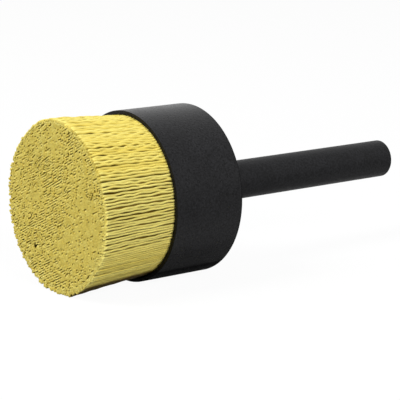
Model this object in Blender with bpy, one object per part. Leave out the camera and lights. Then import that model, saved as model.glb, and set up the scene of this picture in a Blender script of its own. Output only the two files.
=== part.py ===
"""A shank-mounted end brush: stiff filaments potted in a round metal cup on a plain drive shank.

The tool lies along +X with +Z up. The origin is the centre of the shank's free end, so the cup and
the filaments are on the -X side. Every piece is modelled about its own +Z, the tool's axis, and an
empty turns them all onto +X. Sizes are in metres.
"""

import math
import random

import bmesh
import bpy

MM = 0.001

# Shank
SHANK_DIAMETER = 9.525 * MM
SHANK_LENGTH = 63.2 * MM  # from its free end to the back of the cup
SHANK_END_CHAMFER = 0.3 * MM
SPIGOT_DIAMETER = 6.35 * MM
SPIGOT_END_CHAMFER = 0.6 * MM
SPIGOT_RECESS = 0.5 * MM  # below the floor of the cup
RELIEF_DEPTH = 0.5 * MM
RELIEF_WIDTH = 0.9 * MM

# Holder, a cup with a thick floor
HOLDER_DIAMETER = 40.6 * MM
HOLDER_LENGTH = 19.0 * MM
HOLDER_WALL = 1.0 * MM
HOLDER_FLOOR = 6.5 * MM
SHANK_SEAT_DEPTH = 1.0 * MM
BACK_CHAMFER = 0.3 * MM
RIM_ROUND = 0.2 * MM
BORE_EDGE_BREAK = 0.2 * MM
FLOOR_CORNER = 0.8 * MM

# Resin and filaments
RESIN_THICKNESS = 3.0 * MM
BUTT_THICKNESS = 2.0 * MM
TRIM_LENGTH = 19.4 * MM  # of filament beyond the rim
TIP_OVERHANG = 0.3 * MM  # how far the tips stand out past the side of the cup
STRAND_RINGS = 10
STRANDS_PER_STEP = 6  # more strands in each ring than in the ring inside it
STRAND_INSET = 0.15 * MM  # from a strand's root to the edge of its own patch of backing
TIP_WANDER = 0.12 * MM
LENGTH_SPREAD = 0.45 * MM

# Fits and facets
CLEARANCE = 0.3 * MM
MERGE_DISTANCE = 0.001 * MM
STRAND_SIDES = 4
CHANCE_SEED = 11
HOLDER_SEGMENTS = 60
SHANK_SEGMENTS = 48
RIM_ROUND_STEPS = 3
SHARP_ANGLE = math.radians(32)

# Finishes: colour, roughness and metallic value
BLACK_COATING = (0.022, 0.022, 0.024), 0.42, 0.0
BONDING_RESIN = (0.16, 0.11, 0.04), 0.5, 0.0
YELLOW_FILAMENT = (0.64, 0.48, 0.1), 0.6, 0.0

# Sizes that follow from the ones above
SHANK_RADIUS = SHANK_DIAMETER / 2
SPIGOT_RADIUS = SPIGOT_DIAMETER / 2
HOLDER_RADIUS = HOLDER_DIAMETER / 2
BORE_RADIUS = HOLDER_RADIUS - HOLDER_WALL
TIP_RADIUS = HOLDER_RADIUS + TIP_OVERHANG

# Stations along the tool's axis, from the shank's free end at zero towards the tips
BACK_Z = -SHANK_LENGTH
SEAT_Z = BACK_Z - SHANK_SEAT_DEPTH
FLOOR_Z = BACK_Z - HOLDER_FLOOR
RIM_Z = BACK_Z - HOLDER_LENGTH
RESIN_BACK_Z = FLOOR_Z - CLEARANCE
RESIN_FRONT_Z = RESIN_BACK_Z - RESIN_THICKNESS
BUTT_BACK_Z = RESIN_FRONT_Z - CLEARANCE
ROOT_Z = BUTT_BACK_Z - BUTT_THICKNESS
TIP_Z = RIM_Z - TRIM_LENGTH

# The outermost strand clears the bore at the rim and flares in a straight line to its tip
FLARE_SLOPE = (TIP_RADIUS - TIP_WANDER - BORE_RADIUS + CLEARANCE) / (RIM_Z - TIP_Z)
ROOT_RADIUS = BORE_RADIUS - CLEARANCE - FLARE_SLOPE * (ROOT_Z - RIM_Z)
FLARE_SCALE = (TIP_RADIUS - TIP_WANDER) / ROOT_RADIUS
RING_PITCH = (ROOT_RADIUS + STRAND_INSET + CLEARANCE / 2) / (STRAND_RINGS + 0.5)


def clear_scene():
    for item in list(bpy.data.objects):
        bpy.data.objects.remove(item, do_unlink=True)


def make_material(name, colour, roughness, metallic):
    material = bpy.data.materials.new(name)
    material.use_nodes = True
    shader = material.node_tree.nodes["Principled BSDF"]
    shader.inputs["Base Color"].default_value = (*colour, 1.0)
    shader.inputs["Roughness"].default_value = roughness
    shader.inputs["Metallic"].default_value = metallic
    return material


def add_piece(name, shape, material, axis):
    """Turns a bmesh shape into a named object on the tool's axis."""
    bmesh.ops.recalc_face_normals(shape, faces=shape.faces)
    mesh = bpy.data.meshes.new(name)
    shape.to_mesh(mesh)
    shape.free()
    mesh.materials.append(material)
    mesh.shade_smooth()
    mesh.set_sharp_from_angle(angle=SHARP_ANGLE)
    piece = bpy.data.objects.new(name, mesh)
    piece.parent = axis
    bpy.context.scene.collection.objects.link(piece)
    return piece


def turned(profile, segments):
    """Spins a closed outline of (radius, z) points about Z, with a flat facet facing +X."""
    shape = bmesh.new()
    half_step = math.pi / segments
    outline = []
    for radius, z in profile:
        place = (radius * math.cos(half_step), radius * math.sin(half_step), z)
        outline.append(shape.verts.new(place))
    pairs = zip(outline, outline[1:] + outline[:1])
    edges = [shape.edges.new(pair) for pair in pairs]
    bmesh.ops.spin(
        shape,
        geom=outline + edges,
        cent=(0, 0, 0),
        axis=(0, 0, 1),
        angle=2 * math.pi,
        steps=segments,
        use_merge=True,
    )
    bmesh.ops.remove_doubles(shape, verts=shape.verts, dist=MERGE_DISTANCE)
    on_axis = [edge for edge in shape.edges if not edge.link_faces]
    bmesh.ops.delete(shape, geom=on_axis, context="EDGES")
    return shape


def corner_arc(radius, z, size, first_angle, last_angle):
    """Points of a rounded corner about (radius, z), in the plane of an outline."""
    points = []
    for step in range(RIM_ROUND_STEPS + 1):
        angle = first_angle + (last_angle - first_angle) * step / RIM_ROUND_STEPS
        points.append((radius + size * math.cos(angle), z + size * math.sin(angle)))
    return points


def make_holder():
    """The cup: a thin wall round the filaments, and a floor with a seat and a hole for the shank."""
    seat_radius = SHANK_RADIUS + CLEARANCE
    hole_radius = SPIGOT_RADIUS + CLEARANCE
    outline = [
        (seat_radius, BACK_Z),
        (HOLDER_RADIUS - BACK_CHAMFER, BACK_Z),
        (HOLDER_RADIUS, BACK_Z - BACK_CHAMFER),
    ]
    outline += corner_arc(HOLDER_RADIUS - RIM_ROUND, RIM_Z + RIM_ROUND, RIM_ROUND, 0, -math.pi / 2)
    outline += [
        (BORE_RADIUS + BORE_EDGE_BREAK, RIM_Z),
        (BORE_RADIUS, RIM_Z + BORE_EDGE_BREAK),
        (BORE_RADIUS, FLOOR_Z - FLOOR_CORNER),
        (BORE_RADIUS - FLOOR_CORNER, FLOOR_Z),
        (hole_radius, FLOOR_Z),
        (hole_radius, SEAT_Z),
        (seat_radius, SEAT_Z),
    ]
    return turned(outline, HOLDER_SEGMENTS)


def make_shank():
    """A plain round bar whose shoulder seats in the cup, with a relief groove and a threaded spigot."""
    shoulder_z = SEAT_Z + CLEARANCE
    spigot_end_z = FLOOR_Z + SPIGOT_RECESS
    relief_radius = SPIGOT_RADIUS - RELIEF_DEPTH
    outline = [
        (0, 0),
        (SHANK_RADIUS - SHANK_END_CHAMFER, 0),
        (SHANK_RADIUS, -SHANK_END_CHAMFER),
        (SHANK_RADIUS, shoulder_z),
        (relief_radius, shoulder_z),
        (relief_radius, shoulder_z - RELIEF_WIDTH),
        (SPIGOT_RADIUS, shoulder_z - RELIEF_WIDTH - RELIEF_DEPTH),
        (SPIGOT_RADIUS, spigot_end_z + SPIGOT_END_CHAMFER),
        (SPIGOT_RADIUS - SPIGOT_END_CHAMFER, spigot_end_z),
        (0, spigot_end_z),
    ]
    return turned(outline, SHANK_SEGMENTS)


def make_resin_bed():
    """The layer of resin that was poured on the floor of the cup."""
    radius = BORE_RADIUS - CLEARANCE
    outline = [
        (0, RESIN_BACK_Z),
        (radius - FLOOR_CORNER, RESIN_BACK_Z),
        (radius, RESIN_BACK_Z - FLOOR_CORNER),
        (radius, RESIN_FRONT_Z),
        (0, RESIN_FRONT_Z),
    ]
    return turned(outline, HOLDER_SEGMENTS)


def circle_of_points(shape, radius, z, count, phase):
    points = []
    for index in range(count):
        angle = phase + 2 * math.pi * index / count
        points.append(shape.verts.new((radius * math.cos(angle), radius * math.sin(angle), z)))
    return points


def quads_between(shape, first_loop, second_loop):
    count = len(first_loop)
    quads = []
    for index in range(count):
        after = (index + 1) % count
        corners = (first_loop[index], first_loop[after], second_loop[after], second_loop[index])
        quads.append(shape.faces.new(corners))
    return quads


def grow_strands(shape, patches, chance):
    """Insets each patch of backing and draws its middle out into one four-sided, flaring strand."""
    shape.normal_update()
    bmesh.ops.inset_individual(shape, faces=patches, thickness=STRAND_INSET, use_even_offset=True)
    grown = bmesh.ops.extrude_discrete_faces(shape, faces=patches)
    for tip in grown["faces"]:
        wander_x = chance.uniform(-TIP_WANDER, TIP_WANDER) / math.sqrt(2)
        wander_y = chance.uniform(-TIP_WANDER, TIP_WANDER) / math.sqrt(2)
        tip_z = TIP_Z + chance.uniform(0, LENGTH_SPREAD)
        for corner in tip.verts:
            corner.co.x = corner.co.x * FLARE_SCALE + wander_x
            corner.co.y = corner.co.y * FLARE_SCALE + wander_y
            corner.co.z = tip_z


def make_filament_core(chance):
    """The one strand on the axis, with its square patch of backing."""
    shape = bmesh.new()
    radius = RING_PITCH / 2 - CLEARANCE / 2
    back = circle_of_points(shape, radius, BUTT_BACK_Z, STRAND_SIDES, math.pi / STRAND_SIDES)
    front = circle_of_points(shape, radius, ROOT_Z, STRAND_SIDES, math.pi / STRAND_SIDES)
    shape.faces.new(back)
    quads_between(shape, back, front)
    grow_strands(shape, [shape.faces.new(front)], chance)
    return shape


def make_filament_ring(ring, chance):
    """One ring of strands on a slice of backing, clear of the rings inside and outside it."""
    shape = bmesh.new()
    count = STRANDS_PER_STEP * ring
    phase = math.pi / count * (1 + ring % 2)
    outer = (ring + 0.5) * RING_PITCH - CLEARANCE / 2
    inner = ((ring - 0.5) * RING_PITCH + CLEARANCE / 2) / math.cos(math.pi / count)
    outer_back = circle_of_points(shape, outer, BUTT_BACK_Z, count, phase)
    outer_front = circle_of_points(shape, outer, ROOT_Z, count, phase)
    inner_back = circle_of_points(shape, inner, BUTT_BACK_Z, count, phase)
    inner_front = circle_of_points(shape, inner, ROOT_Z, count, phase)
    quads_between(shape, outer_back, outer_front)
    quads_between(shape, inner_back, inner_front)
    quads_between(shape, inner_back, outer_back)
    grow_strands(shape, quads_between(shape, inner_front, outer_front), chance)
    return shape


def main():
    clear_scene()
    chance = random.Random(CHANCE_SEED)
    black = make_material("black_coating", *BLACK_COATING)
    resin = make_material("bonding_resin", *BONDING_RESIN)
    yellow = make_material("yellow_filament", *YELLOW_FILAMENT)

    axis = bpy.data.objects.new("tool_axis", None)
    axis.rotation_euler = (0, math.pi / 2, 0)
    bpy.context.scene.collection.objects.link(axis)

    add_piece("shank", make_shank(), black, axis)
    add_piece("holder", make_holder(), black, axis)
    add_piece("resin_bed", make_resin_bed(), resin, axis)
    add_piece("filament_core", make_filament_core(chance), yellow, axis)
    for ring in range(1, STRAND_RINGS + 1):
        add_piece(f"filament_ring_{ring:02d}", make_filament_ring(ring, chance), yellow, axis)


main()
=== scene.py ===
import math
from dataclasses import dataclass

import bmesh
import bpy
import numpy as np
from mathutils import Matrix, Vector, kdtree
from mathutils.noise import noise as smooth_chance


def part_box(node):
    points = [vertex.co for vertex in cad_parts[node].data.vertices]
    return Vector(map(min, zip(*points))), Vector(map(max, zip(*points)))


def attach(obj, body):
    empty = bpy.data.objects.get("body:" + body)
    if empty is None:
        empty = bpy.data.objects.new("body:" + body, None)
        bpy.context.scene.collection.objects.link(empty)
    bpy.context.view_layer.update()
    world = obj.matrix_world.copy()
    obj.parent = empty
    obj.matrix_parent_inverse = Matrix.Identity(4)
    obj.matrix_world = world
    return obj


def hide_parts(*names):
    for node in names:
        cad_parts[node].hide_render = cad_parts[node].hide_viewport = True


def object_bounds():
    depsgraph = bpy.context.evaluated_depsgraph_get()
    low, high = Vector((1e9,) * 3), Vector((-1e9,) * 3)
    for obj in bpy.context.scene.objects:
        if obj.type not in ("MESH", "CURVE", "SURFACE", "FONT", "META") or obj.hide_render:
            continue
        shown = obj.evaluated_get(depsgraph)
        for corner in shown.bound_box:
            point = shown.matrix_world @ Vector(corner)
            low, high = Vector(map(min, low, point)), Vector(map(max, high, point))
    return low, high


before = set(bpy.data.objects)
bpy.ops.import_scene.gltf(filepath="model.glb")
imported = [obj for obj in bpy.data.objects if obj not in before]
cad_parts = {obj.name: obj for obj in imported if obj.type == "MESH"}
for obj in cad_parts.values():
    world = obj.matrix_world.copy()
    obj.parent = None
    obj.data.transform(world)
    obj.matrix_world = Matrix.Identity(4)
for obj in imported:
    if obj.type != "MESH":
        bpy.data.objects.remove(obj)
cad_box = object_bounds()

MM = 0.001
BODY = "root"
TINY = 1e-9
WHITE = 1.0, 1.0, 1.0
NOISE_RANGE = 0.3, 0.7  # between which most of a noise lies

# Turned metal pieces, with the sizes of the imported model
HOLDER_WALL = 1.0 * MM
HOLDER_FLOOR = 6.5 * MM
SHANK_SEAT_DEPTH = 1.0 * MM
RIM_ROUND = 0.05 * MM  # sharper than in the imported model
BORE_EDGE_BREAK = 0.2 * MM
FLOOR_CORNER = 0.8 * MM
BROKEN_EDGE = 0.3 * MM  # of the back of the cup and the end of the shank
SPIGOT_RADIUS = 3.175 * MM
SPIGOT_END_CHAMFER = 0.6 * MM
RELIEF_DEPTH = 0.5 * MM
RELIEF_WIDTH = 0.9 * MM
CLEARANCE = 0.3 * MM
EDGE_ROUND = 0.03 * MM  # of the other edges
EDGE_ROUND_STEPS = 4
EDGE_HOLD = 0.02 * MM  # a loop this far from a rounded edge keeps the flat beside it flat
HOLDER_SEGMENTS = 192
SHANK_SEGMENTS = 96

# Black coating
CUP_GLOSS = 0.15
SHANK_GLOSS = 0.12
CUP_ROUGHNESS = 0.31
SHANK_ROUGHNESS = 0.5
ROUGHNESS_SPREAD = 0.05
COAT_COLOURS = (0.007, 0.007, 0.0077), (0.011, 0.011, 0.0121)
MOTTLE_SCALE = 180.0
GRAIN_SCALE = 2200.0
GRAIN_RANGE = 0.35, 0.65  # of its noise
GRAIN_TONES = 0.4, 1.65  # the grain multiplies the colour by these
GRAIN_BUMP = 0.9
GRAIN_HEIGHT = 0.08 * MM
EDGE_SHADE_COLOUR = 0.003, 0.003, 0.0033  # painted shade along the rounded edges
EDGE_SHARES = 0.5, 1.0  # of that colour, from patch to patch
EDGE_PATCH_SCALE = 900.0
EDGE_GLOSS = 0.01
DULL_SHARE = 0.01  # of the gloss is left on the side that the tool lies on
DULL_HEIGHTS = -16.0 * MM, -9.0 * MM  # between which the gloss comes back
MOUTH_DEPTH = 0.02 * MM
MOUTH_GLOSS = 0.07  # of the rim and the start of the bore, which are dull

# Yellow filament
SHADES = 0.0, 0.5, 1.0
STRAND_COLOURS = (0.74, 0.56, 0.085), (0.90, 0.735, 0.145), (1.0, 0.885, 0.25)  # at these shades
STREAK_SCALES = 140.0, 3500.0, 3500.0  # along the strands and across them
STREAK_TONES = (0.84, 0.82, 0.78), (1.08, 1.08, 1.08)
# Painted shade: the colour that darkens strands where their neighbours shade them; below it, the painted
# shadow of the side the tool lies on
PAINTED_SHADE_COLOUR = 0.18, 0.105, 0.007
PAINTED_SHADOW_COLOUR = 0.06, 0.04, 0.006
GRIT_SCALE = 7000.0
GRIT_RANGE = 0.60, 0.72  # of its noise
GRIT_SHARE = 0.2  # of its colour where it is thickest
GRIT_COLOUR = 0.42, 0.30, 0.07
GRIT_BUMP = 0.35
GRIT_HEIGHT = 0.03 * MM
STRAND_ROUGHNESS = 0.45, 0.65
STRAND_GLOSS = 0.2

# Bonding resin
RESIN_COLOURS = (0.12, 0.08, 0.03), (0.21, 0.15, 0.06)
RESIN_ROUGHNESS = 0.35, 0.55
CLOUD_SCALE = 260.0
BUBBLE_SCALE = 700.0
BUBBLE_BUMP = 0.3
BUBBLE_HEIGHT = 0.1 * MM

# How the strands are packed
CHANCE_SEED = 7
RING_COUNT = 10
STRAND_DIAMETER = 0.585 * MM
STRAND_PITCH = 0.605 * MM
ROW_ANGLE = math.radians(155)
ROW = np.array([math.cos(ROW_ANGLE), math.sin(ROW_ANGLE)])
ABOVE_ROW = np.array([ROW[1], -ROW[0]])
ROW_STEP = math.sqrt(3) / 2  # of a pitch
PACKING_UPSET = 0.28  # of a pitch
PACKING_REACH = 2.2  # pitches within which strands push each other apart
RELAX_ROUNDS = 60
OUTER_DIAMETER = 0.57 * MM  # of the strands in the outer layers, which show along their whole length
LAYER_PITCHES = 0.65 * MM, 0.76 * MM  # the loose second layer leaves dark gaps under the first
OUTER_LAYERS = len(LAYER_PITCHES)
LAYER_STEP = 0.48 * MM
LAYER_DEPTH_SPREAD = 0.12 * MM
LAYER_UPSET = 0.055  # of a pitch
LOOSE_UPSET = 0.07  # more on the loose sides
LAYER_STEPS = 40, 20
LAYER_SIDES = 8, 6
BRICK_CORNERS = math.radians(30), math.radians(54)  # from the row, of the ends inside
RIM_HIDDEN = 0.03  # of a strand's length is hidden behind the rim and still finely stepped
INNER_STATION = 0.84  # along a strand inside, its first point on the way to the cut end
BORE_GAP = 0.08 * MM  # between the bundle and the wall at the rim
PRESSED_SHARE = 0.012  # of its height that the lower half of the bundle gives up where it lies

# How loosely they lie
LOOSE_SIDE = math.radians(191)  # round the axis; the bundle is loosest there and opposite
LOOSE_POWER = 4  # how narrow these two sides are
LOOSE_MEAN = 0.25
LOOSE_SIDE_SHARE = 0.6
LOOSE_PATCH_SHARE = 0.7
LOOSE_PATCH = 5.0 * MM
LOOSE_SLICE = 2.59  # through the smooth chance
TIGHT_SWELL = 0.32  # of their diameter, where the outermost strands lie tight
LOOSE_SHRINK = 0.03  # of it, where they lie loose

# How they lean and wave
TIP_RADIUS = 20.5 * MM
TIP_SHIFT = np.array([0.2, -0.15]) * MM  # the free ends lean to one side and sag
STRAND_STRAY = 0.02 * MM
CLUMP_SIZE = 3
CLUMP_PULL = 0.06
CLUMP_PULL_SHARES = 0.3, 1.5  # of that pull, from clump to clump
CLUMP_STRETCH = 2.2
PARTING_COUNT = 24  # gaps at which the side of the bundle parts, from the tips towards the rim
PARTING_WIDTH = 0.13 * MM
PARTING_REACH = 1.2 * MM
PARTING_POWER = 4  # how quickly they close inwards
LONG_PARTINGS = np.radians([108, 117, 131, 162, 179, 192, 204])  # the largest of these gaps
LONG_PARTING_WIDTH = 0.36 * MM
WAVE_SHARES = 0.4, 1.5  # of a wave's size, from strand to strand
CRIMP_SIZE = 0.11 * MM
CRIMP_RISE = 0.07 * MM
CRIMP_LENGTHS = 2.8 * MM, 6.0 * MM
CRIMP_MEAN = 0.45  # of the crimp, halfway up the bundle
CRIMP_UPWARD = 0.8  # more at the top
CRIMP_LIMITS = 0.35, 1.2
BEND_SIZE = 0.09 * MM
BEND_LENGTHS = 9.0 * MM, 20.0 * MM
HEAVE_SIZE = 0.06 * MM  # strands rise out of the side and sink into it
HEAVE_LENGTHS = 7.0 * MM, 20.0 * MM

# How they are cut
CUT_SPREAD = 0.02 * MM
CUT_MARGIN = 1.5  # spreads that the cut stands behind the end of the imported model
CUT_TILT = 0.1  # of each strand's own cut
PATCH_SIZE = 8.0 * MM  # of the ragged and the smooth patches of the cut
PATCH_SLICE = 146.52  # through the smooth chance
PATCH_MEAN = 0.5
PATCH_SIDE = np.array([0.26, -0.12])  # how much more ragged the cut is on one side
SMOOTH_SHARE = 0.3  # of the pull of the clumps and the spread of the ends, where the cut is smooth
SHORT_SHARE = 0.006  # of the ends are short, where the cut is ragged
SHORT_LEAST = 0.15  # of that share, where it is smooth
SHORT_DEPTH = 0.5 * MM
SHORT_DEPTH_SHARES = 0.35, 1.0
PIT_SHARE = 0.004  # of the ends stand in pits, where the cut is ragged
PIT_DEPTH = 1.4 * MM
PIT_DEPTH_SHARES = 0.5, 1.0
LARGE_PIT = np.array([8.8, -9.9]) * MM  # the place of one more, across the axis at the rim
LARGE_PIT_DEPTH = 2.5 * MM
SLIT_SHARE = 0.7  # of the ends have a slit above them, where the cut is ragged
SLIT_LEAST = 0.25  # of that share, where it is smooth
SLIT_RUN = 0.05  # of the next ends along the row have one too
SLIT_ROUNDS = 2
SLIT_REACH = 1.4  # pitches within which an end is the next one
SLIT_LIPS = 0.25, 0.75  # slopes of the ends under them
SLIT_WIDTHS = 0.0, 0.1  # of the distance between two rows
ROW_MATCH = 0.9  # how squarely the next end lies along the row
TIP_CHAMFER = 0.05 * MM
TIP_CHAMFER_SHARE = 0.12
TIP_SWELL_LENGTH = 0.7 * MM  # the cut ends spread until they meet
TIP_SWELL_LIMIT = 1.8  # strand diameters that an end spreads to at most
TIP_OVERLAP = 1.05  # the spread ends overlap a little, which closes the cut
CELL_REACH = 1.6  # pitches within which cut ends can meet
STACKED_RISE = 0.5  # of their distance; two ends inside that differ more lie in different rows
LEAST_FACING = 0.1  # how squarely a corner faces a neighbour that can stop it
FRINGE_FACING = -0.4  # the outermost ends don't spread to corners that face outwards more than this

# How their outline is worn and frayed
WEAR_REACH = 2.4 * MM  # from the outline, where the cut is worn round
WEAR_DEPTH = 0.8 * MM
WEAR_MEAN = 0.3
WEAR_SIDE = np.array([-0.4, -0.6])  # how much more worn it is on one side
WEAR_LEAST = 0.1
WEAR_STOPS = -0.7, -0.4  # how squarely the outline faces up where the wear is least and where it is full
WEAR_EVENS = 0.8  # how much of the spread of the outermost ends the wear takes away
WEAR_LEAN = np.array([-0.7, 0.7])  # the worn ends face this way, besides outwards
WEAR_OUTWARD = 0.5
EDGE_BEVEL = 0.8  # slope of the ends in the outer layers on the bevelled side
BEVEL_MEAN = -0.1
BEVEL_SIDE = np.array([0.4, 0.8])
JAGGED_SIDE = np.array([-0.7, 0.7])  # where the outermost ends differ most in length
JAGGED_SHARE = 1.0  # by how much more they differ there
FRAY_SPREAD = 0.09 * MM  # of the outermost ends
FRAY_TUFT = 0.65 * MM  # how far tufts of them lean out
FRAY_SIZE = 1.1 * MM
FRAY_SLICE = 0.0  # through the smooth chance
FRAY_SIDE = np.array([0.77, -0.64])  # where the edge is most frayed
FRAY_MEAN = 0.3
FRAY_LEAST = 0.2
TUFT_ANGLES = np.radians([-36, -44, -53, -60, -69, -80, -90, -104])  # the largest tufts
TUFT_SIZES = np.array([0.3, 0.5, 0.25, 0.5, 0.45, 0.25, 0.2, 0.2]) * MM
TUFT_WIDTH = math.radians(2.2)
FLAT_SIDE = math.radians(52)  # where the outline of the tips is flatter
FLAT_WIDTH = math.radians(20)
FLAT_DEPTH = 0.6 * MM
FLAT_POWER = 3  # how quickly that fades inwards

# Their shades, with painted highlights, painted shade and a painted shadow
SHADE_MEAN = 0.5
SHADE_SPREAD = 0.08
CLUMP_SHADE_SPREAD = 0.05
LOOSE_HIGHLIGHT = 0.5  # painted highlight: how much paler the loose strands are
LOOSE_MIDDLE = 0.3  # strands as loose as this keep their shade
CREST_HIGHLIGHT = 0.7  # painted highlight and shade: how much paler the outermost strands are on their outward sides, and darker on their flanks
CREST_MIDDLE = 0.5  # how squarely the side that keeps its shade faces outwards
END_HIGHLIGHT = 0.45  # painted highlight: how much paler the worn and the bevelled ends are
LIP_HIGHLIGHT = 0.8  # painted highlight: how much paler the raised edge of the most sloping end is
SLIT_PAINTED_SHADE = 0.6  # painted shade on its sunken edge
TIGHT_PAINTED_SHADE = 0.5  # painted shade between strands that lie tight
END_PAINTED_SHADE = 0.25  # painted shade at the cut ends of the outer layers
PAINTED_SHADE_START = 0.5  # how squarely a strand's side faces outwards where painted shade begins to darken it
PAINTED_SHADE_FULL = 0.0
SHADOW_START = 0.79  # how squarely a strand faces down where the painted shadow of the side it lies on begins
SHADOW_FULL = 0.86
SHADOW_DEPTH = 1.2

# View, fitted to the photograph's outlines
CAMERA_AZIMUTH = math.radians(-37.85)
CAMERA_ELEVATION = math.radians(11.76)
CAMERA_DISTANCE = 387.3 * MM
CAMERA_NEAR = 10.0 * MM
AIM_RIGHT_OF_RIM = 17.52 * MM
AIM_ABOVE_RIM = -0.82 * MM
CAMERA_LENS = 148.5
CAMERA_SENSOR = 36.0

# Studio
ROOM_LEVEL = 0.05
FLOOR_HALF = 3.0
FLOOR_LIFT = 0.95  # the floor's own glow towards the camera, which leaves a faint shadow
FLOOR_TONE = 0.06
FLOOR_BOUNCE = 0.07, 0.09
FLOOR_BOUNCE_SCALE = 3.0
FLOOR_MIRRORED = 0.92  # its tone in reflections
FLOOR_ROUGHNESS = 0.9
SOFTBOXES = {  # place, width and power
    "overhead": (Vector((-0.08, 0.0, 1.0)), 0.5, 0.6),
    "before_face": (Vector((-0.75, 0.1, 0.8)), 0.45, 7.9),
    "beside": (Vector((-0.1, -1.05, 0.5)), 0.7, 9.6),
    "behind": (Vector((-0.6, 0.9, 0.5)), 0.8, 3.2),
}

# Stations along the tool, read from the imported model
holder_low, holder_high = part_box("holder")
shank_low, shank_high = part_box("shank")
RIM_X = holder_low.x
BACK_X = holder_high.x
SEAT_X = BACK_X - SHANK_SEAT_DEPTH
FLOOR_X = BACK_X - HOLDER_FLOOR
BUTT_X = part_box("filament_core")[1].x
TIP_X = cad_box[0].x


def node_radius(node):
    """The largest distance of a node's points from the tool's axis."""
    return max(math.hypot(point.co.y, point.co.z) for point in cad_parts[node].data.vertices)


HOLDER_RADIUS = node_radius("holder")
SHANK_RADIUS = node_radius("shank")
BORE_RADIUS = HOLDER_RADIUS - HOLDER_WALL
BUNDLE_RADIUS = BORE_RADIUS - BORE_GAP
FREE_LENGTH = RIM_X - TIP_X
STRAND_LENGTH = BUTT_X - TIP_X
FLARE = TIP_RADIUS / BUNDLE_RADIUS


# Node helpers
def add_node(tree, kind, inputs=None, **settings):
    """Adds a node, sets its properties, and sets or links its inputs."""
    made = tree.nodes.new(kind)
    for name, value in settings.items():
        setattr(made, name, value)
    for name, value in (inputs or {}).items():
        join(tree, made.inputs[name], value)
    return made


def join(tree, socket, value):
    """Links a socket to another one, or sets it to a value."""
    if isinstance(value, bpy.types.NodeSocket):
        tree.links.new(value, socket)
    else:
        socket.default_value = value


def opaque(colour):
    return (*colour, 1.0)


def grey(level):
    return level, level, level


def ramp(tree, factor, positions, colours):
    """A colour ramp with a colour at each position."""
    made = add_node(tree, "ShaderNodeValToRGB", {"Fac": factor})
    elements = made.color_ramp.elements
    while len(elements) < len(positions):
        elements.new(0.5)
    for element, position, colour in zip(elements, positions, colours):
        element.position = position
        element.color = opaque(colour)
    return made.outputs["Color"]


def noise(tree, vector, scale, detail=3.0, roughness=0.5):
    inputs = {"Vector": vector, "Scale": scale, "Detail": detail, "Roughness": roughness}
    return add_node(tree, "ShaderNodeTexNoise", inputs).outputs["Fac"]


def spread(tree, value, low, high, from_low=NOISE_RANGE[0], from_high=NOISE_RANGE[1]):
    """Maps a value onto another range."""
    inputs = {"Value": value, "From Min": from_low, "From Max": from_high, "To Min": low, "To Max": high}
    return add_node(tree, "ShaderNodeMapRange", inputs).outputs["Result"]


def combine(tree, operation, first, second):
    return add_node(tree, "ShaderNodeMath", {0: first, 1: second}, operation=operation).outputs[0]


def blend_colours(tree, factor, first, second, kind="MIX"):
    made = add_node(tree, "ShaderNodeMix", data_type="RGBA", blend_type=kind)
    factor_socket, first_socket, second_socket = made.inputs[0], made.inputs[6], made.inputs[7]
    join(tree, factor_socket, factor)
    join(tree, first_socket, first)
    join(tree, second_socket, second)
    return made.outputs[2]


def bump(tree, strength, distance, height):
    inputs = {"Strength": strength, "Distance": distance, "Height": height}
    return add_node(tree, "ShaderNodeBump", inputs).outputs["Normal"]


def attribute(tree, name):
    return add_node(tree, "ShaderNodeAttribute", attribute_name=name).outputs["Fac"]


def object_coords(tree):
    return add_node(tree, "ShaderNodeTexCoord").outputs["Object"]


def mirrored_ray(tree, path):
    """1 for rays that show the studio in metal or glass."""
    return combine(tree, "MAXIMUM", path["Is Glossy Ray"], path["Is Transmission Ray"])


def new_material(name):
    material = bpy.data.materials.new(name)
    material.use_nodes = True
    tree = material.node_tree
    return material, tree, tree.nodes["Principled BSDF"]


# Materials
def black_coating(name, gloss, roughness):
    """Satin black coating on steel, with a fine grain, dull edges and painted shade along them."""
    material, tree, shader = new_material(name)
    coords = object_coords(tree)
    mottle = noise(tree, coords, MOTTLE_SCALE, detail=5.0, roughness=0.6)
    grain = noise(tree, coords, GRAIN_SCALE, detail=2.0)
    coat = ramp(tree, mottle, NOISE_RANGE, COAT_COLOURS)
    dots = ramp(tree, grain, GRAIN_RANGE, [grey(tone) for tone in GRAIN_TONES])
    coat = blend_colours(tree, 1.0, coat, dots, "MULTIPLY")
    edge = attribute(tree, "rounded_edge")
    patches = noise(tree, coords, EDGE_PATCH_SCALE, detail=4.0, roughness=0.7)
    darkened = combine(tree, "MULTIPLY", edge, spread(tree, patches, *EDGE_SHARES))
    # painted shade darkens the rounded edges
    join(tree, shader.inputs["Base Color"], blend_colours(tree, darkened, coat, opaque(EDGE_SHADE_COLOUR)))
    varied = spread(tree, grain, roughness - ROUGHNESS_SPREAD, roughness + ROUGHNESS_SPREAD)
    join(tree, shader.inputs["Roughness"], varied)
    join(tree, shader.inputs["Normal"], bump(tree, GRAIN_BUMP, GRAIN_HEIGHT, grain))
    height = add_node(tree, "ShaderNodeSeparateXYZ", {"Vector": coords}).outputs["Z"]
    sheen = spread(tree, height, gloss * DULL_SHARE, gloss, *DULL_HEIGHTS)
    sheen = spread(tree, edge, sheen, EDGE_GLOSS, 0.0, 1.0)
    sheen = spread(tree, attribute(tree, "mouth"), sheen, MOUTH_GLOSS, 0.0, 1.0)
    join(tree, shader.inputs["Specular IOR Level"], sheen)
    return material


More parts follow.
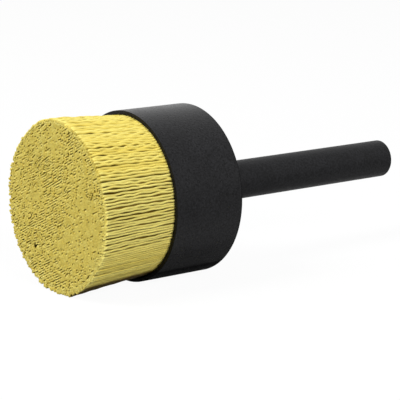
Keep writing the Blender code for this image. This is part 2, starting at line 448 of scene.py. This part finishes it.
def yellow_filament():
    """Abrasive-filled nylon: every strand has its own shade, with painted highlights, fine streaks along
    it and embedded grit, and painted shade between the strands and a painted shadow on the side the tool
    lies on.
    """
    material, tree, shader = new_material("yellow_filament")
    coords = object_coords(tree)
    strand = ramp(tree, attribute(tree, "strand_shade"), SHADES, STRAND_COLOURS)
    stretched = add_node(tree, "ShaderNodeMapping", {"Vector": coords, "Scale": STREAK_SCALES})
    streak = noise(tree, stretched.outputs["Vector"], 1.0)
    streaks = ramp(tree, streak, NOISE_RANGE, STREAK_TONES)
    colour = blend_colours(tree, 1.0, strand, streaks, "MULTIPLY")
    painted_shade = attribute(tree, "painted_shade")
    # painted shade between the strands, and beyond it the painted shadow of the side the tool lies on
    shade_amount = spread(tree, painted_shade, 0.0, 1.0, 0.0, 1.0)
    shadow_share = spread(tree, painted_shade, 0.0, 1.0, 1.0, SHADOW_DEPTH)
    colour = blend_colours(tree, shade_amount, colour, opaque(PAINTED_SHADE_COLOUR))
    colour = blend_colours(tree, shadow_share, colour, opaque(PAINTED_SHADOW_COLOUR))
    grit = noise(tree, coords, GRIT_SCALE, detail=2.0)
    specks = ramp(tree, grit, GRIT_RANGE, [grey(0.0), grey(GRIT_SHARE)])
    colour = blend_colours(tree, specks, colour, opaque(GRIT_COLOUR))
    join(tree, shader.inputs["Base Color"], colour)
    join(tree, shader.inputs["Roughness"], spread(tree, grit, *STRAND_ROUGHNESS))
    join(tree, shader.inputs["Normal"], bump(tree, GRIT_BUMP, GRIT_HEIGHT, grit))
    shader.inputs["Specular IOR Level"].default_value = STRAND_GLOSS
    return material


def bonding_resin():
    """Cloudy amber resin with small bubbles."""
    material, tree, shader = new_material("bonding_resin")
    coords = object_coords(tree)
    cloud = noise(tree, coords, CLOUD_SCALE, detail=4.0)
    join(tree, shader.inputs["Base Color"], ramp(tree, cloud, NOISE_RANGE, RESIN_COLOURS))
    join(tree, shader.inputs["Roughness"], spread(tree, cloud, *RESIN_ROUGHNESS))
    bubbles = add_node(tree, "ShaderNodeTexVoronoi", {"Vector": coords, "Scale": BUBBLE_SCALE})
    normal = bump(tree, BUBBLE_BUMP, BUBBLE_HEIGHT, bubbles.outputs["Distance"])
    join(tree, shader.inputs["Normal"], normal)
    return material


# Turned pieces
def rounded_outline(corners):
    """Rounds the (radius, x, rounding) corners of a closed outline.

    Returns (radius, x, edge) points, where edge is 1 on the arcs.
    """
    points = []
    for index, (radius, x, rounding) in enumerate(corners):
        here = Vector((radius, x))
        before = Vector(corners[index - 1][:2]) - here
        after = Vector(corners[(index + 1) % len(corners)][:2]) - here
        if rounding == 0:
            points.append((radius, x, 0.0))
            continue
        half_angle = before.angle(after) / 2
        reach = rounding / math.tan(half_angle)
        before.normalize()
        after.normalize()
        centre = here + (before + after).normalized() * (rounding / math.sin(half_angle))
        start = here + before * reach - centre
        turn = start.angle_signed(here + after * reach - centre)
        points.append((*(here + before * (reach + EDGE_HOLD)), 0.0))
        for step in range(EDGE_ROUND_STEPS + 1):
            angle = -turn * step / EDGE_ROUND_STEPS
            arm = Vector((
                start.x * math.cos(angle) - start.y * math.sin(angle),
                start.x * math.sin(angle) + start.y * math.cos(angle),
            ))
            points.append((*(centre + arm), 1.0))
        points.append((*(here + after * (reach + EDGE_HOLD)), 0.0))
    return points


def turned_piece(name, corners, segments, material, mouth_x=-math.inf):
    """Spins an outline about the tool's axis; an outline that starts on the axis is closed there.

    The coating is dull up to mouth_x.
    """
    shape = bmesh.new()
    edge = shape.verts.layers.float.new("rounded_edge")
    mouth = shape.verts.layers.float.new("mouth")
    rings = []
    for radius, x, on_edge in rounded_outline(corners):
        count = segments if radius > 0 else 1
        ring = []
        for step in range(count):
            angle = 2 * math.pi * step / segments
            corner = shape.verts.new((x, radius * math.cos(angle), radius * math.sin(angle)))
            corner[edge] = on_edge
            corner[mouth] = float(x < mouth_x)
            ring.append(corner)
        rings.append(ring)
    for first, second in zip(rings, rings[1:] + rings[:1]):
        if len(first) == len(second) == 1:
            continue
        for step in range(segments):
            after = (step + 1) % segments
            corners_here = [first[step % len(first)], second[step % len(second)]]
            if len(second) > 1:
                corners_here.append(second[after])
            if len(first) > 1:
                corners_here.append(first[after])
            shape.faces.new(corners_here)
    bmesh.ops.recalc_face_normals(shape, faces=shape.faces)
    mesh = bpy.data.meshes.new(name)
    shape.to_mesh(mesh)
    shape.free()
    mesh.shade_smooth()
    return add_piece(name, mesh, material)


def add_piece(name, mesh, material):
    mesh.materials.append(material)
    piece = bpy.data.objects.new(name, mesh)
    bpy.context.scene.collection.objects.link(piece)
    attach(piece, BODY)
    return piece


def make_cup(material):
    """The holder: a thin wall round the filaments and a floor with a seat and a hole for the shank."""
    seat_radius = SHANK_RADIUS + CLEARANCE
    hole_radius = SPIGOT_RADIUS + CLEARANCE
    corners = [
        (seat_radius, BACK_X, EDGE_ROUND),
        (HOLDER_RADIUS, BACK_X, BROKEN_EDGE),
        (HOLDER_RADIUS, RIM_X, RIM_ROUND),
        (BORE_RADIUS, RIM_X, BORE_EDGE_BREAK),
        (BORE_RADIUS, FLOOR_X, FLOOR_CORNER),
        (hole_radius, FLOOR_X, EDGE_ROUND),
        (hole_radius, SEAT_X, EDGE_ROUND),
        (seat_radius, SEAT_X, EDGE_ROUND),
    ]
    piece = turned_piece("cup", corners, HOLDER_SEGMENTS, material, RIM_X + MOUTH_DEPTH)
    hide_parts("holder")


def make_drive_shank(material):
    """The shank: a plain bar with a broken edge, a shoulder, a relief groove and a spigot."""
    shoulder_x = SEAT_X + CLEARANCE
    spigot_end_x = shank_low.x
    relief_radius = SPIGOT_RADIUS - RELIEF_DEPTH
    corners = [
        (0.0, shank_high.x, 0),
        (SHANK_RADIUS, shank_high.x, BROKEN_EDGE),
        (SHANK_RADIUS, shoulder_x, EDGE_ROUND),
        (relief_radius, shoulder_x, EDGE_ROUND),
        (relief_radius, shoulder_x - RELIEF_WIDTH, EDGE_ROUND),
        (SPIGOT_RADIUS, shoulder_x - RELIEF_WIDTH - RELIEF_DEPTH, EDGE_ROUND),
        (SPIGOT_RADIUS, spigot_end_x + SPIGOT_END_CHAMFER, EDGE_ROUND),
        (SPIGOT_RADIUS - SPIGOT_END_CHAMFER, spigot_end_x, EDGE_ROUND),
        (0.0, spigot_end_x, 0),
    ]
    piece = turned_piece("drive_shank", corners, SHANK_SEGMENTS, material)
    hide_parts("shank")


# Filaments
@dataclass
class Wave:
    """A wave along each strand."""

    size: np.ndarray
    length: np.ndarray
    phase: np.ndarray


@dataclass
class Bundle:
    """One row for each strand."""

    place: np.ndarray  # across the axis at the rim
    layer: np.ndarray  # 0 for the outermost strands
    outward: np.ndarray  # direction from the axis
    lean: np.ndarray  # how far the tip is shifted beyond the even flare
    waves: list
    tip_x: np.ndarray
    tilt: np.ndarray  # slope of the cut end
    ragged: np.ndarray  # how uneven the cut is round the strand
    loose: np.ndarray  # how loosely the strand lies against its neighbours
    slit: np.ndarray  # how wide the slit above the end is, as a share of the distance to the next row
    lip: np.ndarray  # slope of the end under it
    pale: np.ndarray  # how worn or bevelled the cut is round the strand, which sets the painted highlight on its end
    shade: np.ndarray


def neighbours(places, pitches):
    """Index pairs of strands that stand within some pitches of each other."""
    tree = kdtree.KDTree(len(places))
    for index, (y, z) in enumerate(places):
        tree.insert((y, z, 0.0), index)
    tree.balance()
    pairs = []
    for index, (y, z) in enumerate(places):
        near = tree.find_range((y, z, 0.0), pitches * STRAND_PITCH)
        pairs += [(index, other) for _, other, _ in near if other > index]
    return np.array(pairs).T


def patches_at(places, size, level):
    """Smooth chance at each place, in patches of some size, on one level through it."""
    return np.array([smooth_chance(Vector((y / size, z / size, level))) for y, z in places])


def packed_places(chance):
    """Fills the inside of the bundle with touching strands, in rows that are upset and then relaxed."""
    limit = BUNDLE_RADIUS - STRAND_DIAMETER / 2 - OUTER_LAYERS * LAYER_STEP
    count = int(limit / STRAND_PITCH) + 2
    across, up = np.meshgrid(np.arange(-count, count + 1), np.arange(-2 * count, 2 * count + 1))
    rows = np.stack([across + (up % 2) / 2, up * ROW_STEP], axis=-1).reshape(-1, 2)
    places = rows @ np.stack([ROW, ABOVE_ROW]) * STRAND_PITCH
    places = places[np.hypot(*places.T) <= limit]
    places += chance.normal(0.0, PACKING_UPSET * STRAND_PITCH, places.shape)

    first, second = neighbours(places, PACKING_REACH)
    for _ in range(RELAX_ROUNDS):
        apart = places[first] - places[second]
        distance = np.maximum(np.hypot(*apart.T), TINY)
        push = np.clip(STRAND_PITCH - distance, 0.0, None) / distance / 2
        move = apart * push[:, None]
        for axis in range(2):
            places[:, axis] += np.bincount(first, move[:, axis], len(places))
            places[:, axis] -= np.bincount(second, move[:, axis], len(places))
        reach = np.maximum(np.hypot(*places.T), TINY)
        places *= np.minimum(1.0, limit / reach)[:, None]
    return places


def layer_places(layer, chance):
    """One outer layer: strands side by side round the bundle, unevenly spaced and unevenly deep."""
    radius = BUNDLE_RADIUS - OUTER_DIAMETER / 2 - layer * LAYER_STEP
    count = int(2 * math.pi * radius / LAYER_PITCHES[layer])
    angle = np.arange(count) * 2 * math.pi / count
    upset = LAYER_UPSET + LOOSE_UPSET * np.cos(angle - LOOSE_SIDE) ** LOOSE_POWER
    angle += chance.normal(0.0, upset) * 2 * math.pi / count
    reach = radius - chance.uniform(0.0, LAYER_DEPTH_SPREAD, count)
    return np.stack([np.cos(angle), np.sin(angle)], axis=-1) * reach[:, None]


def clumped(places, chance):
    """Groups strands into small clumps, longer along the rows: each strand's clump, and their centres."""
    turned = np.stack([places @ ROW / CLUMP_STRETCH, places @ ABOVE_ROW], axis=-1)
    picked = chance.choice(len(places), len(places) // CLUMP_SIZE, replace=False)
    apart = turned[:, None, :] - turned[None, picked, :]
    return np.hypot(apart[..., 0], apart[..., 1]).argmin(axis=1), places[picked]


def parted(angle, reach, chance):
    """How far round the bundle each tip is pushed by the gaps at which the side parts."""
    middles = np.append(LONG_PARTINGS, chance.uniform(-math.pi, math.pi, PARTING_COUNT))
    widths = np.full(len(LONG_PARTINGS), LONG_PARTING_WIDTH)
    widths = np.append(widths, chance.exponential(PARTING_WIDTH, PARTING_COUNT))
    away = (angle[:, None] - middles[None, :] + math.pi) % (2 * math.pi) - math.pi
    across = np.abs(away) * reach[:, None]
    push = np.sign(away) * widths[None, :] / 2 * np.exp(-across / PARTING_REACH)
    return push.sum(axis=1) * (reach / BUNDLE_RADIUS) ** PARTING_POWER


def slits_above(places, ragged, chance):
    """How wide a slit each end has above it, and how much it slopes there.

    A slit may run on along the row.
    """
    pairs = neighbours(places, SLIT_REACH)
    slit = chance.random(len(places)) < SLIT_SHARE * (SLIT_LEAST + (1 - SLIT_LEAST) * ragged)
    apart = places[pairs[1]] - places[pairs[0]]
    in_row = np.abs(apart @ ROW) > ROW_MATCH * np.hypot(*apart.T)
    for _ in range(SLIT_ROUNDS):
        first, second = pairs[:, in_row & (chance.random(len(apart)) < SLIT_RUN)]
        np.logical_or.at(slit, second, slit[first])
    widths = chance.uniform(*SLIT_WIDTHS, len(places))
    lips = chance.uniform(*SLIT_LIPS, len(places))
    return slit * np.stack([widths, lips])


def make_wave(direction, size, lengths, chance):
    count = len(direction)
    return Wave(
        size=direction * size * chance.uniform(*WAVE_SHARES, count)[:, None],
        length=chance.uniform(*lengths, count),
        phase=chance.uniform(0.0, 2 * math.pi, count),
    )


def wear_of(outward, reach):
    """How much painted highlight the wear of the outline gives each end, and how far it is worn, which is
    less low down.
    """
    pale = np.clip((reach - BUNDLE_RADIUS) / WEAR_REACH + 1, 0.0, 1.0)
    pale *= np.clip(WEAR_MEAN + outward @ WEAR_SIDE, WEAR_LEAST, 1.0)
    fades = (outward[:, 1] - WEAR_STOPS[0]) / (WEAR_STOPS[1] - WEAR_STOPS[0])
    return pale, pale * np.clip(fades, WEAR_LEAST, 1.0)


def fray_of(place, outward, angle, reach, outer):
    """How far outwards each end leans in its tuft, and how much shorter it is where it leans inwards."""
    frayed = np.clip(FRAY_MEAN + outward @ FRAY_SIDE, FRAY_LEAST, 1.0) * outer
    tufts = FRAY_TUFT * patches_at(place, FRAY_SIZE, FRAY_SLICE) * frayed
    turn = (angle[:, None] - TUFT_ANGLES) / TUFT_WIDTH
    large = (TUFT_SIZES * np.exp(-(turn**2))).sum(axis=1) * outer
    turn = (angle - FLAT_SIDE) / FLAT_WIDTH
    flat = FLAT_DEPTH * np.exp(-(turn**2)) * (reach / BUNDLE_RADIUS) ** FLAT_POWER
    return tufts + large - flat, np.maximum(-tufts, 0.0)


def make_bundle():
    """Places every strand and settles its lean, its waves, its cut end and its shade."""
    chance = np.random.default_rng(CHANCE_SEED)
    layers = [layer_places(layer, chance) for layer in range(OUTER_LAYERS)]
    layers.append(packed_places(chance))
    place = np.concatenate(layers)
    place[:, 1] *= np.where(place[:, 1] < 0, 1 - PRESSED_SHARE, 1.0)
    layer = np.repeat(np.arange(len(layers)), [len(places) for places in layers])
    outermost = layer == 0
    outer = layer < OUTER_LAYERS
    count = len(place)
    reach = np.maximum(np.hypot(*place.T), TINY)
    outward = place / reach[:, None]
    around = np.stack([-outward[:, 1], outward[:, 0]], axis=-1)
    angle = np.arctan2(place[:, 1], place[:, 0])
    ragged = PATCH_MEAN + patches_at(place, PATCH_SIZE, PATCH_SLICE) + place @ PATCH_SIDE / BUNDLE_RADIUS
    ragged = np.clip(ragged, 0.0, 1.0)
    facing = outward @ np.array([math.cos(LOOSE_SIDE), math.sin(LOOSE_SIDE)])
    loose = LOOSE_MEAN + LOOSE_SIDE_SHARE * facing**LOOSE_POWER
    loose = np.clip(loose + LOOSE_PATCH_SHARE * patches_at(place, LOOSE_PATCH, LOOSE_SLICE), 0.0, 1.0)

    # Lean in clumps and at the gaps in the side
    clump, clump_centres = clumped(place, chance)
    pull = CLUMP_PULL * chance.uniform(*CLUMP_PULL_SHARES, len(clump_centres))[clump]
    lean = (clump_centres[clump] - place) * (pull * (SMOOTH_SHARE + ragged))[:, None]
    lean += chance.normal(0.0, STRAND_STRAY, place.shape)
    lean += around * parted(angle, reach, chance)[:, None]

    # Waves along the strands that show
    crimped = np.clip(CRIMP_MEAN + CRIMP_UPWARD * outward[:, 1], *CRIMP_LIMITS) * outer
    waves = [
        make_wave(around * crimped[:, None], CRIMP_SIZE, CRIMP_LENGTHS, chance),
        make_wave(outward * (crimped * outermost)[:, None], CRIMP_RISE, CRIMP_LENGTHS, chance),
        make_wave(around * (loose * outer)[:, None], BEND_SIZE, BEND_LENGTHS, chance),
        make_wave(outward * (loose * outermost)[:, None], HEAVE_SIZE, HEAVE_LENGTHS, chance),
    ]

    # The cut, with short ends, slits and pits
    uneven = chance.normal(0.0, CUT_SPREAD, count) * (SMOOTH_SHARE + ragged)
    tip_x = TIP_X + CUT_MARGIN * CUT_SPREAD + uneven
    short = chance.random(count) < SHORT_SHARE * (SHORT_LEAST + ragged) * ~outermost
    tip_x += short * chance.uniform(*SHORT_DEPTH_SHARES, count) * SHORT_DEPTH
    slit, lip = slits_above(place, ragged, chance) * ~outer
    pitted = chance.random(count) < PIT_SHARE * ragged
    tip_x += pitted * chance.uniform(*PIT_DEPTH_SHARES, count) * PIT_DEPTH
    tip_x += (np.hypot(*(place - LARGE_PIT).T) < STRAND_PITCH) * LARGE_PIT_DEPTH
    tip_x += lip * STRAND_DIAMETER / 2
    tilt = chance.normal(0.0, CUT_TILT, place.shape) + lip[:, None] * ABOVE_ROW

    # The outline, worn on one side, frayed on another and bevelled on a third
    pale, worn = wear_of(outward, reach)
    jagged = (1 + JAGGED_SHARE * np.clip(outward @ JAGGED_SIDE, 0.0, 1.0)) * outermost
    jagged *= 1 - WEAR_EVENS * worn
    tip_x += WEAR_DEPTH * worn**2 + chance.normal(0.0, FRAY_SPREAD, count) * jagged
    lean += outward * (chance.normal(0.0, FRAY_SPREAD, count) * outermost)[:, None]
    leans_out, shorter = fray_of(place, outward, angle, reach, outer)
    lean += outward * leans_out[:, None]
    tip_x += shorter
    bevel = np.clip(BEVEL_MEAN + outward @ BEVEL_SIDE, 0.0, 1.0) * outer
    worn_slope = 2 * WEAR_DEPTH / WEAR_REACH * worn
    tilt += (WEAR_LEAN + WEAR_OUTWARD * outward) * worn_slope[:, None]
    tilt += outward * (EDGE_BEVEL * bevel)[:, None]

    shade = SHADE_MEAN + chance.normal(0.0, CLUMP_SHADE_SPREAD, len(clump_centres))[clump]
    shade += chance.normal(0.0, SHADE_SPREAD, count)
    # painted highlight on the loose outermost strands
    shade += LOOSE_HIGHLIGHT * (loose - LOOSE_MIDDLE) * outermost
    return Bundle(
        place=place,
        layer=layer,
        outward=outward,
        lean=lean,
        waves=waves,
        tip_x=tip_x,
        tilt=tilt,
        ragged=ragged,
        loose=loose,
        slit=slit,
        lip=lip,
        pale=np.maximum(pale, bevel),
        shade=shade,
    )


def centre_lines(bundle, picked, stations):
    """Points along the picked strands. A station is 0 at the butt and 1 at the cut end."""
    x = BUTT_X + (bundle.tip_x[picked, None] - BUTT_X) * stations[None, :]
    out = np.clip((RIM_X - x) / FREE_LENGTH, 0.0, None)
    across = bundle.place[picked, None, :] * (1 + (FLARE - 1) * out)[..., None]
    across = across + bundle.lean[picked, None, :] * out[..., None]
    for wave in bundle.waves:
        swing = np.sin(2 * math.pi * x / wave.length[picked, None] + wave.phase[picked, None])
        across = across + wave.size[picked, None, :] * swing[..., None]
    across = across + TIP_SHIFT * out[..., None]
    return np.concatenate([x[..., None], across], axis=-1)


def corners_of(layer):
    """Directions of a strand's corners. The ends inside meet like bricks in rows."""
    if layer < OUTER_LAYERS:
        sides = LAYER_SIDES[layer]
        angles = 2 * math.pi * np.arange(sides) / sides
    else:
        angles = np.array(BRICK_CORNERS)
        angles = np.concatenate([angles, math.pi - angles[::-1]])
        angles = ROW_ANGLE + np.concatenate([angles, math.pi + angles])
    return np.stack([np.cos(angles), np.sin(angles)], axis=-1)


def tip_cells(bundle, layer):
    """How far each cut end of a layer can spread to each corner before it meets its neighbours."""
    corners = corners_of(layer)
    everyone = np.arange(len(bundle.shade))
    tips = centre_lines(bundle, everyone, np.array([1.0]))[:, 0, 1:]
    first, second = neighbours(tips, CELL_REACH)
    near = np.concatenate([first, second])
    far = np.concatenate([second, first])
    toward = tips[far] - tips[near]
    distance = np.hypot(*toward.T)
    rise = toward @ ABOVE_ROW
    inside = np.minimum(bundle.layer[near], bundle.layer[far]) == OUTER_LAYERS
    stacked = inside & (np.abs(rise) > STACKED_RISE * distance)
    bound = np.where(stacked[:, None], np.sign(rise)[:, None] * ABOVE_ROW, toward / distance[:, None])
    gap = np.where(rise > 0, bundle.slit[near], bundle.slit[far])
    reach = np.where(stacked, np.abs(rise) * (1 - gap), distance) / 2
    facing = bound @ corners.T
    room = np.where(facing > LEAST_FACING, reach[:, None] / np.maximum(facing, LEAST_FACING), np.inf)
    cells = np.full((len(tips), len(corners)), np.inf)
    np.minimum.at(cells, near, room)
    return np.minimum(cells * TIP_OVERLAP, STRAND_DIAMETER / 2 * TIP_SWELL_LIMIT)


def stations_along():
    """Where the strands of each layer have points: at the butt, on the way, and twice at the cut end."""
    swell = 1 - TIP_SWELL_LENGTH / STRAND_LENGTH
    end = 1 - TIP_CHAMFER / STRAND_LENGTH
    rim = (BUTT_X - RIM_X) / STRAND_LENGTH
    on_the_way = [np.linspace(rim - RIM_HIDDEN, swell, steps) for steps in LAYER_STEPS]
    on_the_way.append([INNER_STATION, swell])
    return [np.array([0.0, *stations, end, 1.0]) for stations in on_the_way]


def strand_widths(bundle, cells, layer, chosen, shape, facing):
    """Half a strand's width at each station, towards each corner."""
    diameter = OUTER_DIAMETER if layer < OUTER_LAYERS else STRAND_DIAMETER
    widths = np.full(shape, diameter / 2)
    widths[:, -2] = cells[layer][chosen]
    if layer == 0:
        girth = 1 + TIGHT_SWELL - (TIGHT_SWELL + LOOSE_SHRINK) * bundle.loose[chosen]
        widths *= girth[:, None, None]
        widths[:, -2] = np.where(facing > FRINGE_FACING, OUTER_DIAMETER / 2, widths[:, -2])
    widths[:, -1] = widths[:, -2] * (1 - TIP_CHAMFER_SHARE * bundle.ragged[chosen, None])
    return widths


def strand_painted_shade(bundle, layer, chosen, shape, facing, sunken):
    """How much painted shade each point has: 0 is none and 1 is full, and the painted shadow of the side
    the tool lies on goes beyond that.
    """
    shade_amount = np.ones(shape)
    if layer < OUTER_LAYERS:
        shade_amount *= (TIGHT_PAINTED_SHADE + (1 - TIGHT_PAINTED_SHADE) * bundle.loose[chosen])[:, None, None]
    if layer == 0:
        deep = (PAINTED_SHADE_START - facing) / (PAINTED_SHADE_START - PAINTED_SHADE_FULL)
        shade_amount *= np.clip(deep, 0.0, 1.0)[:, None, :]
        # painted shadow on the strands that face down towards the side the tool lies on
        low = (-bundle.outward[chosen, 1] - SHADOW_START) / (SHADOW_FULL - SHADOW_START)
        shade_amount = np.maximum(shade_amount, SHADOW_DEPTH * np.clip(low, 0.0, 1.0)[:, None, None])
    shade_amount[:, -2] *= END_PAINTED_SHADE * np.clip(-bundle.outward[chosen, 0], 0.0, 1.0)[:, None]
    shade_amount[:, -1] = 0.0
    if layer == OUTER_LAYERS:
        shade_amount[:, -2:] = SLIT_PAINTED_SHADE * np.maximum(sunken, 0.0)[:, None, :]
    return shade_amount


def strand_shades(bundle, layer, chosen, shape, facing, sunken):
    """The shade of each point, with painted highlights: paler on outward sides, on worn ends and on the
    raised edges of lips.
    """
    shades = np.broadcast_to(bundle.shade[chosen, None, None], shape).copy()
    # painted highlight on the outward sides of the outermost strands, painted shade on their flanks
    if layer == 0:
        shades += (CREST_HIGHLIGHT * (np.clip(facing, 0.0, 1.0) - CREST_MIDDLE))[:, None, :]
    # painted highlight on the worn and bevelled ends
    shades[:, -3:] += END_HIGHLIGHT * bundle.pale[chosen, None, None]
    # painted highlight on the raised edges of the lips
    shades[:, -1] -= LIP_HIGHLIGHT * np.minimum(sunken, 0.0)
    return shades


def tubes(lines, widths, tilt, corners):
    """Closed tubes along the lines: their points, and the faces of their walls, butts and cut ends."""
    count, steps, sides = widths.shape
    points = np.repeat(lines[:, :, None, :], sides, axis=2)
    points[..., 1:] += widths[..., None] * corners[None, None, :, :]
    slope = tilt @ corners.T
    points[:, -2:, :, 0] += slope[:, None, :] * widths[:, -2:, :]
    points[..., 0] = np.maximum(points[..., 0], TIP_X)
    points[..., 2] = np.maximum(points[..., 2], cad_box[0].z)
    index = np.arange(count * steps * sides).reshape(count, steps, sides)
    following = np.roll(index, -1, axis=2)
    walls = np.stack([index[:, :-1], index[:, 1:], following[:, 1:], following[:, :-1]], axis=-1)
    return points.reshape(-1, 3), walls.reshape(-1, 4), index[:, 0, :], index[:, -1, ::-1]


def strand_mesh(name, bundle, cells, picked):
    """One mesh of the picked strands, with many steps along those of the outer layers."""
    points, faces, smooth, shades, painted_shades, offset = [], [], [], [], [], 0
    for layer, stations in enumerate(stations_along()):
        chosen = picked[bundle.layer[picked] == layer]
        if len(chosen) == 0:
            continue
        corners = corners_of(layer)
        shape = len(chosen), len(stations), len(corners)
        facing = bundle.outward[chosen] @ corners.T
        sunken = bundle.lip[chosen, None] / SLIT_LIPS[1] * (corners @ ABOVE_ROW)
        widths = strand_widths(bundle, cells, layer, chosen, shape, facing)
        lines = centre_lines(bundle, chosen, stations)
        places, walls, butts, ends = tubes(lines, widths, bundle.tilt[chosen], corners)
        for group, is_smooth in ((walls, True), (butts, False), (ends, False)):
            faces += (group + offset).tolist()
            smooth += [is_smooth] * len(group)
        points.append(places)
        offset += len(places)
        shades.append(strand_shades(bundle, layer, chosen, shape, facing, sunken).reshape(-1))
        painted_shades.append(strand_painted_shade(bundle, layer, chosen, shape, facing, sunken).reshape(-1))
    mesh = bpy.data.meshes.new(name)
    mesh.from_pydata(np.concatenate(points).tolist(), [], faces)
    mesh.polygons.foreach_set("use_smooth", smooth)
    for label, values in (("strand_shade", shades), ("painted_shade", painted_shades)):
        stored = mesh.attributes.new(label, "FLOAT", "POINT")
        stored.data.foreach_set("value", np.concatenate(values).astype(np.float32))
    mesh.update()
    return mesh


def make_filaments(material):
    """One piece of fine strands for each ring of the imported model."""
    bundle = make_bundle()
    cells = [tip_cells(bundle, layer) for layer in range(OUTER_LAYERS + 1)]
    ring_pitch = BUNDLE_RADIUS / (RING_COUNT + 0.5)
    ring_of = np.floor(np.hypot(*bundle.place.T) / ring_pitch + 0.5).astype(int)
    ring_of = np.clip(ring_of, 0, RING_COUNT)
    for ring in range(RING_COUNT + 1):
        tail = f"ring_{ring:02d}" if ring else "core"
        mesh = strand_mesh(f"fine_strands_{tail}", bundle, cells, np.flatnonzero(ring_of == ring))
        piece = add_piece(f"fine_strands_{tail}", mesh, material)
        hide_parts(f"filament_{tail}")


# Studio
def make_floor():
    """A white floor that keeps a faint shadow."""
    half = FLOOR_HALF
    height = cad_box[0].z
    mesh = bpy.data.meshes.new("floor")
    places = [(-half, -half, height), (half, -half, height), (half, half, height), (-half, half, height)]
    mesh.from_pydata(places, [], [(0, 1, 2, 3)])
    material, tree, shader = new_material("floor")
    tone = noise(tree, object_coords(tree), FLOOR_BOUNCE_SCALE, detail=2.0)
    bounce = ramp(tree, tone, NOISE_RANGE, [grey(level) for level in FLOOR_BOUNCE])
    path = add_node(tree, "ShaderNodeLightPath").outputs
    seen = path["Is Camera Ray"]
    colour = blend_colours(tree, seen, bounce, opaque(grey(FLOOR_TONE)))
    colour = blend_colours(tree, mirrored_ray(tree, path), colour, opaque(grey(FLOOR_MIRRORED)))
    join(tree, shader.inputs["Base Color"], colour)
    shader.inputs["Roughness"].default_value = FLOOR_ROUGHNESS
    shader.inputs["Specular IOR Level"].default_value = 0.0
    shader.inputs["Emission Color"].default_value = opaque(WHITE)
    join(tree, shader.inputs["Emission Strength"], combine(tree, "MULTIPLY", seen, FLOOR_LIFT))
    mesh.materials.append(material)
    floor = bpy.data.objects.new("floor", mesh)
    bpy.context.scene.collection.objects.link(floor)


def make_light():
    """A dim white room and soft boxes above, before, beside and behind the tool."""
    world = bpy.data.worlds.new("studio")
    world.use_nodes = True
    tree = world.node_tree
    background = tree.nodes["Background"]
    background.inputs["Color"].default_value = opaque(WHITE)
    path = add_node(tree, "ShaderNodeLightPath").outputs
    seen = combine(tree, "MAXIMUM", path["Is Camera Ray"], mirrored_ray(tree, path))
    join(tree, background.inputs["Strength"], spread(tree, seen, ROOM_LEVEL, 1.0, 0.0, 1.0))
    bpy.context.scene.world = world
    for name, (place, width, power) in SOFTBOXES.items():
        data = bpy.data.lights.new(name, "AREA")
        data.shape = "SQUARE"
        data.size = width
        data.energy = power
        box = bpy.data.objects.new(name, data)
        box.location = place
        aim = Vector((RIM_X, 0, 0)) - place
        box.rotation_mode = "QUATERNION"
        box.rotation_quaternion = aim.to_track_quat("-Z", "Y")
        bpy.context.scene.collection.objects.link(box)


def make_camera():
    """A camera that sees the tool as the photograph does."""
    back = Vector((
        math.sin(CAMERA_AZIMUTH) * math.cos(CAMERA_ELEVATION),
        -math.cos(CAMERA_AZIMUTH) * math.cos(CAMERA_ELEVATION),
        math.sin(CAMERA_ELEVATION),
    ))
    turn = (-back).to_track_quat("-Z", "Y")
    right = turn @ Vector((1, 0, 0))
    up = turn @ Vector((0, 1, 0))
    aim = Vector((RIM_X, 0, 0)) + right * AIM_RIGHT_OF_RIM + up * AIM_ABOVE_RIM
    data = bpy.data.cameras.new("camera")
    data.lens = CAMERA_LENS
    data.sensor_width = CAMERA_SENSOR
    data.clip_start = CAMERA_NEAR
    camera = bpy.data.objects.new("camera", data)
    camera.rotation_mode = "QUATERNION"
    camera.rotation_quaternion = turn
    camera.location = aim + back * CAMERA_DISTANCE
    bpy.context.scene.collection.objects.link(camera)
    bpy.context.scene.camera = camera


# Assembly
bpy.context.scene.view_settings.view_transform = "Standard"
make_cup(black_coating("cup_coating", CUP_GLOSS, CUP_ROUGHNESS))
make_drive_shank(black_coating("shank_coating", SHANK_GLOSS, SHANK_ROUGHNESS))
make_filaments(yellow_filament())
resin_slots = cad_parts["resin_bed"].data.materials
resin_slots[0] = bonding_resin()
make_floor()
make_light()
make_camera()
